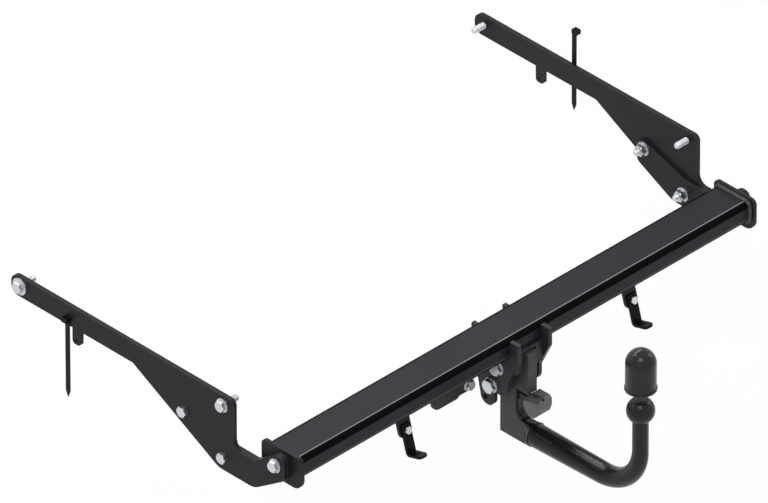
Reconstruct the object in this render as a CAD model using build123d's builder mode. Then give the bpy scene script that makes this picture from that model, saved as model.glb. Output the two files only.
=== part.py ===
from build123d import *
from math import cos, hypot, radians, sin
import os

# Detachable towbar with a removable ball neck, in millimetres
# Origin at the centre of the coupling ball, +X to the vehicle's right, +Y forward, +Z up
# Shapes on the frame are drawn from the centre of the crossbeam tube

os.makedirs("parts", exist_ok=True)

# Where the crossbeam lies, seen from the ball
ball_reach = 311.0
beam_rise = 7.0

# Crossbeam tube
beam_length = 1074.0
beam_depth = 81.0
beam_height = 41.0
beam_corner = 10.0
beam_wall = 4.0

# Flat steel of the frame
plate_thickness = 8.0
end_plate_thickness = 6.0
plate_corner = 11.0
weld_leg = 4.5
weld_slope = 45.0
block_bevel = 2.0

# End plates
end_plate_front = 46.0
end_plate_rear = 51.0
end_plate_top = 28.5
end_plate_bottom = 36.0
end_plate_round = 11.0
end_plate_low_round = 22.0

# Side arms
arm_bar_top = 82.3
arm_bar_bottom = 41.3
arm_far_margin = 22.0
arm_slope_start = 341.0
arm_keel_front = 135.0
arm_keel_rear = 50.0
arm_keel_depth = 70.5
arm_heel = 98.5
arm_saddle = 14.5
arm_nose_reach = 22.0
arm_nose_height = 23.5
arm_nose_depth = 21.0
arm_far_round = 17.0
arm_nose_round = 12.6
arm_keel_round = 36.0
arm_saddle_round = 18.0
arm_lug_place = 477.0
arm_lug_width = 19.0
arm_lug_bottom = 10.0
arm_lug_hole = 6.5
arm_lug_hole_height = 18.0

# Bolts of the arms: places from the beam's centre
far_bolt_place = 612.6
heel_bolt_place = 123.5
chassis_bolt_height = 63.5
front_arm_bolt_place = 219.0
front_arm_bolt_height = 3.0
rear_arm_bolt_place = 124.0
rear_arm_bolt_depth = 45.0
end_bolt_place = 2.0
end_bolt_height = 2.6
connector_round = 18.0
connector_corner = 16.0
connector_top = 21.0
connector_low = 27.5
connector_keel_front = 150.0
connector_keel_depth = 71.5

# Metric fasteners
bolt_size = 12.0
bolt_flats = 19.0
bolt_head = 7.5
bolt_pitch = 1.75
chassis_bolt_length = 37.0
arm_bolt_length = 37.0
end_bolt_length = 36.0
nut_height = 10.8
washer_outer = 26.0
wide_washer_outer = 32.0
washer_thickness = 3.0
hole_clearance = 0.5
thread_clearance = 0.05
thread_depth_share = 0.55
hex_sides = 6
hex_half_angle = 30.0
head_bevel_share = 0.04
head_bevel_start = 0.8

# Receiver under the middle of the beam
receiver_gap = 66.0
rear_hook_reach = 19.5
rear_hook_top = 18.0
hook_notch = 4.0
front_hook_reach = 10.5
front_hook_top = 13.5
receiver_shoulder = 18.0
receiver_bevel = 68.0
receiver_waist = 36.0
receiver_lobe = 18.0
receiver_lobe_place = 17.5
receiver_bottom = 103.5
receiver_heel = 80.0
eye_lug_place = 12.5
eye_lug_depth = 120.5
eye_lug_radius = 16.5
eye_hole = 10.0
eye_place = 17.5
eye_depth = 123.5
cross_plate_thickness = 5.5
cross_plate_top = 10.0
cross_plate_bottom = 53.0
cross_plate_slot = 7.0
cross_plate_slot_height = 6.0
cross_plate_slot_place = 12.5
cross_plate_slot_depth = 18.0
stop_block_top = 18.0
guide_reach = 18.0
receiver_bolt_size = 16.0
receiver_bolt_flats = 24.0
receiver_bolt_head = 8.5
receiver_bolt_pitch = 2.0
receiver_bolt_length = 30.0
receiver_washer_outer = 29.0
lower_bolt_place = 2.0
lower_bolt_depth = 91.0
upper_bolt_place = -12.8
upper_bolt_depth = 47.0

# Tongue and column of the ball neck
tongue_thickness = 21.0
tongue_rear = 12.2
tongue_nose = 54.4
tongue_top = 26.0
nose_gap = 1.3
column_front = 26.3
foot_front = 46.0
foot_round = 19.0
foot_edge = 5.0
foot_taper = 17.0
guide_clearance = 0.1
seat_clearance = 0.3

# Swan neck and coupling ball
ball_diameter = 50.0
ball_flat_height = 21.0
bar_diameter = 39.3
collar_diameter = 44.5
collar_outer = 46.0
bar_root_diameter = 43.0
stem_diameter = 28.3
bar_drop = 180.4
bend_radius = 90.0

# Ball cap, shown lifted off
cap_wall = 1.8
cap_lift = 97.0
cap_clearance = 0.2
cap_skirt = 52.0
cap_rim = 1.3
cap_rim_height = 4.0

# Lock: bolt, spring and handle
lock_diameter = 12.0
lock_rod_diameter = 6.0
lock_length = 16.0
lock_socket = 10.0
lock_bevel = 1.5
rod_seat = 1.0
lock_bush_wall = 2.0
fit_clearance = 0.08
spring_wire = 1.4
spring_mean_radius = 4.6
spring_turns = 5.0
spring_gap = 0.3
strike_depth = 17.5
strike_above = 24.0
strike_below = 12.0
handle_place = 66.0
handle_depth = 119.5
handle_radius = 22.0
handle_near_side = 13.0
handle_width = 32.4
handle_top = 18.7
handle_crown = 10.8
handle_wall = 2.0
handle_shoulder = 14.0
handle_waist = 1.0
handle_heel = 12.3
handle_facet_place = 54.4
handle_facet_turn = 28.6
handle_facet_tilt = 26.8
handle_slot = 6.8
handle_lug = 6.0
handle_lug_round = 6.6
handle_slot_floor = 2.0
handle_bevel = 1.6
grip_bevel = 1.2
pin_bevel = 0.4
handle_pin_diameter = 8.0
handle_corner = 3.0
handle_swing = 56.0
crank_radius = 13.4
crank_pin_diameter = 5.0
fork_wall = 2.4
fork_end_wall = 1.9
key_diameter = 12.0
key_depth = 7.0
key_slot_length = 7.0
key_slot_width = 1.3
key_cover_diameter = 18.0
key_cover_thickness = 1.6
key_cover_pin_radius = 1.8
key_cover_drop = 12.9

# Socket plate on its pivot, and the tab that carries it
socket_pivot_place = 78.0
socket_pivot_depth = 81.0
socket_pivot_size = 10.0
socket_pivot_flats = 17.0
socket_pivot_head = 6.4
socket_pivot_pitch = 1.5
socket_pivot_tip = 3.0
socket_nut_height = 6.6
socket_washer_outer = 24.0
socket_washer_thickness = 1.6
socket_tab_top = 48.0
socket_tab_bottom = 75.0
socket_tab_radius = 11.0
socket_tab_thickness = 5.0
socket_plate_place = 22.0
socket_plate_offset = 132.0
socket_plate_top = 24.0
socket_plate_bottom = 98.0
socket_plate_width = 68.0
socket_plate_thickness = 4.0
socket_plate_corner = 20.0
socket_plate_inner_corner = 10.0
socket_hole = 44.0
socket_hole_depth = 50.0
socket_screw_circle_diameter = 56.0
socket_screw_count = 3
socket_screw_hole = 5.5
socket_arm_radius = 13.0

# Lugs and straps under the beam
bracket_offset = 270.0
bracket_lean = 16.0
bracket_lug_width = 30.0
bracket_lug_length = 54.0
bracket_lug_thickness = 4.0
bracket_lug_round = 14.0
bracket_lug_place = 10.5
bracket_bolt_drop = 39.0
bracket_bolt_size = 8.0
bracket_bolt_flats = 13.0
bracket_bolt_head = 5.5
bracket_bolt_length = 18.5
bracket_bolt_pitch = 1.25
bracket_nut_height = 6.5
strap_width = 20.0
strap_thickness = 4.5
strap_top = 27.5
strap_bottom = 85.5
strap_foot = 35.0
strap_corner = 7.0
strap_bend = 7.2
strap_hole = 9.0
strap_hole_place = 19.2

# Cable ties
tie_width = 10.5
tie_thickness = 1.4
tie_length = 161.5
tie_head_width = 13.0
tie_head_depth = 10.0
tie_head_height = 9.0
tie_head_round = 1.0
tie_slot = 2.1
tie_slot_place = 3.5
left_tie_place = 497.0
left_tie_head = 54.5
right_tie_place = 402.5
right_tie_head = 146.5

# Places worked out from the driving dimensions
beam_end = beam_length / 2
end_plate_face = beam_end + end_plate_thickness
connector_face = end_plate_face + end_plate_thickness
arm_face = connector_face + plate_thickness
beam_front = beam_depth / 2
beam_under = beam_height / 2
receiver_inner = receiver_gap / 2
receiver_outer = receiver_inner + plate_thickness
tongue_side = tongue_thickness / 2
nose_bottom = handle_depth - handle_top - nose_gap
ball_radius = ball_diameter / 2
half_swing = radians(handle_swing / 2)
crank_sink = crank_radius * (1 - cos(half_swing))
lock_depth = handle_depth - crank_radius + crank_sink / 2


def side_plane(x):
    """Plane square to X: its axes are +Y and +Z, from the beam's centre."""
    return Plane(origin=(x, ball_reach, beam_rise), x_dir=(0, 1, 0), z_dir=(1, 0, 0))


def rear_plane(y):
    """Plane square to Y, facing the rear: its axes are +X and +Z, from the beam's centre."""
    return Plane(origin=(0, ball_reach + y, beam_rise), x_dir=(1, 0, 0), z_dir=(0, -1, 0))


def level_plane(z):
    """Level plane: its axes are +X and +Y, from the beam's centre."""
    return Plane(origin=(0, ball_reach, beam_rise + z))


def along_x(x, y, z, toward):
    """Place on the beam's grid whose own Z points along +X or -X."""
    spot = (x, ball_reach + y, beam_rise + z)
    return Location(Plane(origin=spot, x_dir=(0, 1, 0), z_dir=(toward, 0, 0)))


def both_sides(spots):
    """The same spots on the right side and, mirrored, on the left."""
    return [along_x(side * x, y, z, -side * inward) for side in (1, -1) for x, y, z, inward in spots]


def write(piece, name):
    """Label a finished piece and write it as a STEP file of the same name."""
    piece.label = name
    export_step(piece, os.path.join("parts", name + ".step"))


def mirrored(piece):
    """The same piece on the other side of the vehicle."""
    return mirror(piece, about=Plane.YZ)


# Fasteners, each with the underside of its head at its own origin

def thread_points(radius, pitch, start, end):
    """Outline of a thread's crests and roots from start to end."""
    depth = thread_depth_share * pitch
    count = int((end - start) / pitch)
    first = end - count * pitch
    points = []
    for turn in range(count):
        height = first + turn * pitch
        points += [(radius - depth, height), (radius, height + pitch / 2)]
    return points + [(radius - depth, end)]


def hex_head(flats, height, clear=0.0):
    """Hexagon with rounded-off corners, drawn as a prism trimmed by a cone."""
    corner = flats / 2 / cos(radians(hex_half_angle))
    bevel = flats * head_bevel_share
    with BuildPart() as head:
        with BuildSketch(Plane.XY):
            RegularPolygon(flats / 2, hex_sides, major_radius=False)
            if clear:
                Circle(clear, mode=Mode.SUBTRACT)
        extrude(amount=-height)
        with BuildSketch(Plane.XZ):
            with BuildLine():
                Polyline(
                    (0, 0),
                    (corner, 0),
                    (corner, -height * head_bevel_start),
                    (corner - 2 * bevel, -height),
                    (0, -height),
                    close=True,
                )
            make_face()
        revolve(axis=Axis.Z, mode=Mode.INTERSECT)
    return head.part


def hex_bolt(size, flats, head_height, pitch, length, plain):
    """Hexagon bolt with its thread drawn as rings from the plain shank to the tip."""
    radius = size / 2
    with BuildPart() as bolt:
        add(hex_head(flats, head_height))
        with BuildSketch(Plane.XZ):
            with BuildLine():
                Polyline(
                    (0, 0),
                    (radius, 0),
                    (radius, plain),
                    *thread_points(radius, pitch, plain, length - pitch),
                    (radius - pitch, length),
                    (0, length),
                    close=True,
                )
            make_face()
        revolve(axis=Axis.Z)
    return bolt.part


def hex_nut(size, flats, height):
    """Hexagon nut from its own origin along +Z, bored to the thread's crests."""
    with BuildPart() as nut:
        with Locations(Rotation(180, 0, 0)):
            add(hex_head(flats, height, size / 2 + thread_clearance))
    return nut.part


def washer(size, outer, thickness):
    """Flat washer from its own origin along +Z."""
    with BuildPart() as ring:
        with BuildSketch(Plane.XY):
            Circle(outer / 2)
            Circle(size / 2 + hole_clearance / 2, mode=Mode.SUBTRACT)
        extrude(amount=thickness)
    return ring.part


def group(piece, places):
    """Identical fasteners at their places, as one node of separate solids."""
    with BuildPart() as copies:
        with Locations(*places):
            add(piece)
    return copies.part


# Crossbeam tube, end plates and their welds

with BuildPart() as crossbeam_tube:
    with BuildSketch(side_plane(-beam_end)):
        RectangleRounded(beam_depth, beam_height, beam_corner)
        RectangleRounded(
            beam_depth - 2 * beam_wall,
            beam_height - 2 * beam_wall,
            beam_corner - beam_wall,
            mode=Mode.SUBTRACT,
        )
    extrude(amount=beam_length)
write(crossbeam_tube.part, "crossbeam_tube")

bolt_hole = (bolt_size + hole_clearance) / 2
end_bolt_spot = (-end_bolt_place, end_bolt_height)

with BuildPart() as end_plate:
    with BuildSketch(side_plane(beam_end)) as end_plate_outline:
        middle = (end_plate_front - end_plate_rear) / 2
        level = (end_plate_top - end_plate_bottom) / 2
        with Locations((middle, level)):
            Rectangle(end_plate_front + end_plate_rear, end_plate_top + end_plate_bottom)
        fillet(end_plate_outline.vertices().group_by(Axis.Y)[0], end_plate_low_round)
        fillet(end_plate_outline.vertices().group_by(Axis.Y)[-1], end_plate_round)
        with Locations(end_bolt_spot):
            Circle(bolt_hole, mode=Mode.SUBTRACT)
    extrude(amount=end_plate_thickness)
write(end_plate.part, "right_end_plate")
write(mirrored(end_plate.part), "left_end_plate")

with BuildPart() as end_weld:
    with BuildSketch(side_plane(beam_end)):
        RectangleRounded(beam_depth + 2 * weld_leg, beam_height + 2 * weld_leg, beam_corner + weld_leg)
    extrude(amount=-weld_leg, taper=weld_slope)
    with BuildSketch(side_plane(beam_end)):
        RectangleRounded(beam_depth, beam_height, beam_corner)
    extrude(amount=-weld_leg, mode=Mode.SUBTRACT)
with BuildPart() as end_welds:
    add(end_weld.part)
    add(mirrored(end_weld.part))
write(end_welds.part, "end_plate_welds")

# Side arms: a long bar that widens into a web and ends in a nose at the beam

arm_spots = [
    (far_bolt_place, chassis_bolt_height),
    (heel_bolt_place, chassis_bolt_height),
    (front_arm_bolt_place, front_arm_bolt_height),
    (rear_arm_bolt_place, -rear_arm_bolt_depth),
    end_bolt_spot,
]

with BuildPart() as side_arm:
    with BuildSketch(side_plane(connector_face)) as arm_outline:
        with BuildLine():
            Polyline(
                (far_bolt_place + arm_far_margin, arm_bar_top),
                (far_bolt_place + arm_far_margin, arm_bar_bottom),
                (arm_slope_start, arm_bar_bottom),
                (arm_keel_front, -arm_keel_depth),
                (arm_keel_rear, -arm_keel_depth),
                (-arm_nose_reach, -arm_nose_depth),
                (-arm_nose_reach, arm_nose_height),
                (-end_bolt_place, arm_nose_height),
                (arm_keel_rear, -arm_saddle),
                (arm_heel, -arm_saddle),
                (arm_heel, arm_bar_top),
                close=True,
            )
        make_face()
        far_corners = arm_outline.vertices().group_by(Axis.X)[-1]
        fillet(far_corners, arm_far_round)
        nose_corners = arm_outline.vertices().group_by(Axis.X)[0]
        fillet(nose_corners, arm_nose_round)
        keel_corners = arm_outline.vertices().group_by(Axis.Y)[0]
        fillet(keel_corners, arm_keel_round)
        fillet(arm_outline.vertices().sort_by_distance((arm_heel, -arm_saddle))[0], arm_saddle_round)
        fillet(arm_outline.vertices().sort_by_distance((arm_keel_rear, -arm_saddle))[0], plate_corner)
        heel_corner = arm_outline.vertices().group_by(Axis.Y)[-1].sort_by(Axis.X)[0]
        fillet(heel_corner, plate_corner)
        with Locations((arm_lug_place, (arm_bar_bottom + plate_corner + arm_lug_bottom) / 2)):
            RectangleRounded(
                arm_lug_width, arm_bar_bottom + plate_corner - arm_lug_bottom, arm_lug_width / 3
            )
        with Locations(*arm_spots):
            Circle(bolt_hole, mode=Mode.SUBTRACT)
        with Locations((arm_lug_place, arm_lug_hole_height)):
            Circle(arm_lug_hole / 2, mode=Mode.SUBTRACT)
    extrude(amount=plate_thickness)
write(side_arm.part, "right_side_arm")
write(mirrored(side_arm.part), "left_side_arm")

# Connector plates between arms and end plates

with BuildPart() as connector_plate:
    with BuildSketch(side_plane(end_plate_face)) as connector_outline:
        with BuildLine():
            Polyline(
                (front_arm_bolt_place + connector_round, front_arm_bolt_height + connector_top),
                (front_arm_bolt_place + connector_round, -connector_low),
                (connector_keel_front, -connector_keel_depth),
                (arm_keel_rear, -connector_keel_depth),
                (-arm_nose_reach, -arm_nose_depth),
                (-arm_nose_reach, arm_nose_height),
                (-end_bolt_place, arm_nose_height),
                (arm_keel_rear, -arm_saddle),
                (arm_heel + 2 * plate_corner, -arm_saddle),
                close=True,
            )
        make_face()
        fillet(connector_outline.vertices().group_by(Axis.X)[-1], connector_corner)
        fillet(connector_outline.vertices().group_by(Axis.X)[0], arm_nose_round)
        fillet(connector_outline.vertices().group_by(Axis.Y)[0], arm_keel_round)
        saddle_start = (arm_keel_rear, -arm_saddle)
        fillet(connector_outline.vertices().sort_by_distance(saddle_start)[0], plate_corner)
        with Locations(
            (front_arm_bolt_place, front_arm_bolt_height),
            (rear_arm_bolt_place, -rear_arm_bolt_depth),
            end_bolt_spot,
        ):
            Circle(bolt_hole, mode=Mode.SUBTRACT)
    extrude(amount=end_plate_thickness)
write(connector_plate.part, "right_connector_plate")
write(mirrored(connector_plate.part), "left_connector_plate")

# Bolts, washers and nuts of the arms

chassis_bolt = hex_bolt(
    bolt_size, bolt_flats, bolt_head, bolt_pitch, chassis_bolt_length, plate_thickness
)
chassis_face = arm_face + washer_thickness
chassis_bolts = group(chassis_bolt, both_sides([
    (chassis_face, far_bolt_place, chassis_bolt_height, 1),
    (chassis_face, heel_bolt_place, chassis_bolt_height, 1),
]))
write(chassis_bolts, "chassis_bolts")

wide_washer = washer(bolt_size, wide_washer_outer, washer_thickness)
write(group(wide_washer, both_sides([(arm_face, far_bolt_place, chassis_bolt_height, -1)])), "far_washers")

arm_washer = washer(bolt_size, washer_outer, washer_thickness)
arm_washers = group(arm_washer, both_sides([
    (arm_face, heel_bolt_place, chassis_bolt_height, -1),
    (end_plate_face, front_arm_bolt_place, front_arm_bolt_height, 1),
    (end_plate_face, rear_arm_bolt_place, -rear_arm_bolt_depth, 1),
    (arm_face, -end_bolt_place, end_bolt_height, -1),
]))
write(arm_washers, "arm_washers")

arm_bolt = hex_bolt(
    bolt_size, bolt_flats, bolt_head, bolt_pitch, arm_bolt_length, plate_thickness + end_plate_thickness
)
arm_bolts = group(arm_bolt, both_sides([
    (arm_face, front_arm_bolt_place, front_arm_bolt_height, 1),
    (arm_face, rear_arm_bolt_place, -rear_arm_bolt_depth, 1),
]))
write(arm_bolts, "arm_bolts")

end_bolt = hex_bolt(
    bolt_size, bolt_flats, bolt_head, bolt_pitch, end_bolt_length, plate_thickness + 2 * end_plate_thickness
)
end_bolts = group(end_bolt, both_sides([(chassis_face, -end_bolt_place, end_bolt_height, 1)]))
write(end_bolts, "beam_end_bolts")

arm_nut = hex_nut(bolt_size, bolt_flats, nut_height)
nut_face = end_plate_face - washer_thickness
arm_nuts = group(arm_nut, both_sides([
    (nut_face, front_arm_bolt_place, front_arm_bolt_height, 1),
    (nut_face, rear_arm_bolt_place, -rear_arm_bolt_depth, 1),
]))
write(arm_nuts, "arm_nuts")
captive_nuts = group(arm_nut, both_sides([(beam_end, -end_bolt_place, end_bolt_height, 1)]))
write(captive_nuts, "beam_captive_nuts")

# Receiver side plates that wrap the beam from below

lower_bolt_spot = (lower_bolt_place, -lower_bolt_depth)
upper_bolt_spot = (upper_bolt_place, -upper_bolt_depth)
receiver_hole = (receiver_bolt_size + hole_clearance) / 2

with BuildPart() as receiver_plate:
    with BuildSketch(side_plane(receiver_inner)) as receiver_sketch:
        with BuildLine():
            Polyline(
                (beam_front + front_hook_reach, front_hook_top),
                (beam_front + front_hook_reach, -receiver_shoulder),
                (beam_front, -receiver_heel),
                (beam_front - eye_hole / 2, -receiver_heel - plate_corner),
                (receiver_lobe_place, -receiver_bottom),
                (-receiver_waist, -receiver_bottom),
                (-receiver_waist, -receiver_bevel),
                (-beam_front - rear_hook_reach, -receiver_shoulder),
                (-beam_front - rear_hook_reach, rear_hook_top),
                (0, rear_hook_top),
                (0, front_hook_top),
                close=True,
            )
        make_face()
        waist_corner = receiver_sketch.vertices().group_by(Axis.Y)[0].sort_by(Axis.X)[0]
        fillet(waist_corner, receiver_lobe)
        RectangleRounded(
            beam_depth + 2 * seat_clearance,
            beam_height + 2 * seat_clearance,
            beam_corner + seat_clearance,
            mode=Mode.SUBTRACT,
        )
        with Locations((0, beam_height / 2)):
            Rectangle(beam_depth + 2 * seat_clearance, beam_height, mode=Mode.SUBTRACT)
        with Locations((-beam_front - rear_hook_reach, rear_hook_top - hook_notch)):
            Rectangle(hook_notch, hook_notch, mode=Mode.SUBTRACT)
        with Locations(lower_bolt_spot, upper_bolt_spot):
            Circle(receiver_hole, mode=Mode.SUBTRACT)
    extrude(amount=plate_thickness)
write(receiver_plate.part, "right_receiver_plate")

with BuildPart() as left_receiver_plate:
    add(mirrored(receiver_plate.part))
    with BuildSketch(side_plane(-receiver_outer)):
        with BuildSketch(mode=Mode.PRIVATE) as lug_outline:
            with Locations((eye_lug_place, -eye_lug_depth)):
                Circle(eye_lug_radius)
            with BuildLine():
                Polyline(
                    (eye_lug_place - eye_lug_radius, -receiver_heel),
                    (eye_lug_place - eye_lug_radius, -eye_lug_depth),
                    (eye_lug_place + eye_lug_radius, -eye_lug_depth),
                    (beam_front - eye_hole / 2, -receiver_heel - plate_corner),
                    close=True,
                )
            make_face()
        add(lug_outline.sketch)
        with Locations((eye_place, -eye_depth)):
            Circle(eye_hole / 2, mode=Mode.SUBTRACT)
        with Locations(lower_bolt_spot):
            Circle(receiver_hole, mode=Mode.SUBTRACT)
    extrude(amount=plate_thickness)
write(left_receiver_plate.part, "left_receiver_plate")

# Plates and blocks between the side plates

tongue_gap = 2 * (tongue_side + guide_clearance)

with BuildPart() as rear_cross_plate:
    with BuildSketch(rear_plane(-beam_front - seat_clearance)):
        with Locations((0, -(cross_plate_top + cross_plate_bottom) / 2)):
            Rectangle(receiver_gap, cross_plate_bottom - cross_plate_top)
        with Locations((0, -(tongue_top - seat_clearance + cross_plate_bottom) / 2)):
            Rectangle(tongue_gap, cross_plate_bottom - tongue_top + seat_clearance, mode=Mode.SUBTRACT)
        with Locations((cross_plate_slot_place, -cross_plate_slot_depth)):
            Rectangle(cross_plate_slot, cross_plate_slot_height, mode=Mode.SUBTRACT)
    extrude(amount=cross_plate_thickness)
write(rear_cross_plate.part, "rear_cross_plate")

cross_plate_face = beam_front + seat_clearance + cross_plate_thickness

with BuildPart() as stop_block:
    with BuildSketch(rear_plane(-cross_plate_face)):
        with Locations((0, -(stop_block_top + tongue_top - seat_clearance) / 2)):
            Rectangle(tongue_thickness, tongue_top - seat_clearance - stop_block_top)
    extrude(amount=tongue_nose - cross_plate_face)
    chamfer(stop_block.faces().sort_by(Axis.Y)[0].edges().sort_by(Axis.Z)[-1], block_bevel)
write(stop_block.part, "stop_block")

with BuildPart() as top_seat_plate:
    with BuildSketch(level_plane(-beam_under)):
        with Locations((0, (tongue_rear + seat_clearance - beam_front - seat_clearance) / 2)):
            Rectangle(receiver_gap, beam_front + tongue_rear + 2 * seat_clearance)
    extrude(amount=-(tongue_top - seat_clearance - beam_under))
write(top_seat_plate.part, "top_seat_plate")

guide_rear = tongue_rear + seat_clearance

with BuildPart() as guide_block:
    with BuildSketch(side_plane(tongue_side + guide_clearance)):
        guide_top = tongue_top - seat_clearance
        with Locations(((guide_rear - guide_reach) / 2, -(guide_top + receiver_bottom) / 2)):
            Rectangle(guide_rear + guide_reach, receiver_bottom - guide_top)
        with Locations(lower_bolt_spot, upper_bolt_spot):
            Circle(receiver_bolt_size / 2 + thread_clearance, mode=Mode.SUBTRACT)
    extrude(amount=receiver_inner - tongue_side - guide_clearance)
write(guide_block.part, "right_guide_block")
write(mirrored(guide_block.part), "left_guide_block")

with BuildPart() as lock_strike_block:
    with BuildSketch(rear_plane(guide_rear)):
        with Locations((0, -lock_depth + (strike_above - strike_below) / 2)):
            Rectangle(receiver_gap, strike_above + strike_below)
        with Locations((0, -lock_depth)):
            Circle(lock_diameter / 2 + 2 * fit_clearance, mode=Mode.SUBTRACT)
    extrude(amount=-strike_depth)
write(lock_strike_block.part, "lock_strike_block")

# Bolts of the receiver

receiver_bolt = hex_bolt(
    receiver_bolt_size,
    receiver_bolt_flats,
    receiver_bolt_head,
    receiver_bolt_pitch,
    receiver_bolt_length,
    plate_thickness,
)
receiver_spots = [
    (receiver_outer, lower_bolt_place, -lower_bolt_depth, -1),
    (receiver_outer, upper_bolt_place, -upper_bolt_depth, -1),
]
receiver_washer = washer(receiver_bolt_size, receiver_washer_outer, washer_thickness)
write(group(receiver_washer, both_sides(receiver_spots)), "receiver_washers")
bolt_face = receiver_outer + washer_thickness
receiver_bolts = group(receiver_bolt, both_sides([
    (bolt_face, lower_bolt_place, -lower_bolt_depth, 1),
    (bolt_face, upper_bolt_place, -upper_bolt_depth, 1),
]))
write(receiver_bolts, "receiver_bolts")

# Ball neck: tongue, column, foot, swan neck and ball, forged in one piece

collar_drop = bar_drop + (collar_diameter - bar_diameter) / 2
foot_bottom = collar_drop + collar_diameter / 2
foot_top = collar_drop - collar_diameter / 2
foot_start = foot_top - foot_round - foot_edge
bar_start = foot_front + foot_taper
bend_start = ball_reach - bend_radius
lock_bore = lock_diameter / 2 + fit_clearance
rod_radius = lock_rod_diameter / 2
bush_radius = rod_radius + lock_bush_wall
spring_length = spring_turns * (spring_wire + spring_gap) + spring_wire
lock_back = tongue_rear - lock_length
bore_back = lock_back - spring_length - 2 * seat_clearance
handle_centre = (-handle_place, -handle_depth)

with BuildPart() as neck_foot:
    with BuildSketch(side_plane(-tongue_side)) as foot_outline:
        with BuildLine():
            Polyline(
                (tongue_side - column_front, -foot_start),
                (tongue_side - column_front, -foot_bottom),
                (-foot_front, -foot_bottom),
                (-foot_front, -foot_top),
                (-column_front, -foot_top),
                (-column_front, -foot_start),
                close=True,
            )
        make_face()
        fillet(foot_outline.vertices().group_by(Axis.Y)[1].sort_by(Axis.X)[-1], foot_round)
    extrude(amount=tongue_thickness)
    fillet(neck_foot.edges().filter_by(GeomType.CIRCLE), foot_edge)

with BuildPart() as ball_neck:
    with BuildSketch(side_plane(-tongue_side)):
        with Locations(((tongue_rear - tongue_nose) / 2, -(tongue_top + nose_bottom) / 2)):
            Rectangle(tongue_rear + tongue_nose, nose_bottom - tongue_top)
    extrude(amount=tongue_thickness)
    with BuildSketch(level_plane(-nose_bottom)) as column_plan:
        with Locations((0, (tongue_rear - column_front) / 2)):
            Rectangle(tongue_thickness, tongue_rear + column_front)
        fillet(column_plan.vertices().group_by(Axis.Y)[0], foot_edge)
    extrude(amount=nose_bottom - foot_bottom)
    add(neck_foot.part)
    with BuildSketch(rear_plane(-foot_front)) as foot_end:
        with Locations((0, -collar_drop)):
            Rectangle(tongue_thickness, collar_diameter)
        fillet(foot_end.vertices().group_by(Axis.Y)[-1], foot_edge)
    with BuildSketch(rear_plane(-bar_start)):
        with Locations((0, -collar_drop)):
            Circle(collar_outer / 2)
    loft()
    with BuildSketch(rear_plane(-bar_start)):
        with Locations((0, -collar_drop)):
            Circle(bar_root_diameter / 2)
    with BuildSketch(rear_plane(-bend_start)):
        with Locations((0, -bar_drop)):
            Circle(bar_diameter / 2)
    loft()
    with BuildLine(side_plane(0)) as bend:
        CenterArc((-bend_start, -bar_drop + bend_radius), bend_radius, 270, -90)
    with BuildSketch(rear_plane(-bend_start)):
        with Locations((0, -bar_drop)):
            Circle(bar_diameter / 2)
    with BuildSketch(level_plane(-bar_drop + bend_radius)):
        with Locations((0, -ball_reach)):
            Circle(stem_diameter / 2)
    sweep(path=bend.line, multisection=True)
    with BuildSketch(Plane.XY):
        Circle(stem_diameter / 2)
    extrude(amount=beam_rise - bar_drop + bend_radius)
    Sphere(ball_radius)
    split(bisect_by=Plane.XY.offset(ball_flat_height), keep=Keep.BOTTOM)
    with BuildSketch(side_plane(-handle_lug / 2)):
        with Locations(handle_centre):
            Circle(handle_lug_round)
        with Locations((-(handle_place + column_front - tongue_side) / 2, -handle_depth)):
            Rectangle(handle_place - column_front + tongue_side, 2 * handle_lug_round)
    extrude(amount=handle_lug)
    with BuildSketch(side_plane(-handle_lug)):
        with Locations(handle_centre):
            Circle(handle_pin_diameter / 2 + fit_clearance)
    extrude(amount=2 * handle_lug, mode=Mode.SUBTRACT)
    with BuildSketch(rear_plane(tongue_rear)):
        with Locations((0, -lock_depth)):
            Circle(lock_bore)
    extrude(amount=tongue_rear - bore_back, mode=Mode.SUBTRACT)
    with BuildSketch(rear_plane(bore_back)):
        with Locations((0, -lock_depth)):
            Circle(bush_radius + thread_clearance)
    extrude(amount=bore_back + column_front, mode=Mode.SUBTRACT)
write(ball_neck.part, "ball_neck")

# Lock: bush, spring, bolt and the rod whose yoke takes the handle's crank pin

with BuildPart() as lock_bush:
    with BuildSketch(rear_plane(bore_back)):
        with Locations((0, -lock_depth)):
            Circle(bush_radius)
            Circle(rod_radius + fit_clearance, mode=Mode.SUBTRACT)
    extrude(amount=bore_back + column_front)
write(lock_bush.part, "lock_bush")

spring_foot = bore_back + seat_clearance + spring_wire / 2
spring_pitch = spring_wire + spring_gap

with BuildPart() as lock_spring:
    with BuildLine() as coil:
        coil_foot = rear_plane(spring_foot).from_local_coords((0, -lock_depth))
        Helix(spring_pitch, spring_turns * spring_pitch, spring_mean_radius, coil_foot, (0, 1, 0))
    with BuildSketch(Plane(coil.line @ 0, z_dir=coil.line % 0)):
        Circle(spring_wire / 2)
    sweep(path=coil.line)
write(lock_spring.part, "lock_spring")

with BuildPart() as lock_bolt:
    with BuildSketch(rear_plane(tongue_rear - seat_clearance)):
        with Locations((0, -lock_depth)):
            Circle(lock_diameter / 2)
    extrude(amount=lock_length - seat_clearance)
    chamfer(lock_bolt.faces().sort_by(Axis.Y)[-1].edges(), lock_bevel)
    with BuildSketch(rear_plane(lock_back)):
        with Locations((0, -lock_depth)):
            Circle(rod_radius + thread_clearance)
    extrude(amount=-lock_socket, mode=Mode.SUBTRACT)
write(lock_bolt.part, "lock_bolt")

yoke_place = handle_place + crank_radius * sin(half_swing)
pin_room = crank_pin_diameter + 2 * seat_clearance
yoke_width = pin_room + 2 * fork_wall
yoke_height = pin_room + crank_sink + 2 * fork_end_wall

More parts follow.
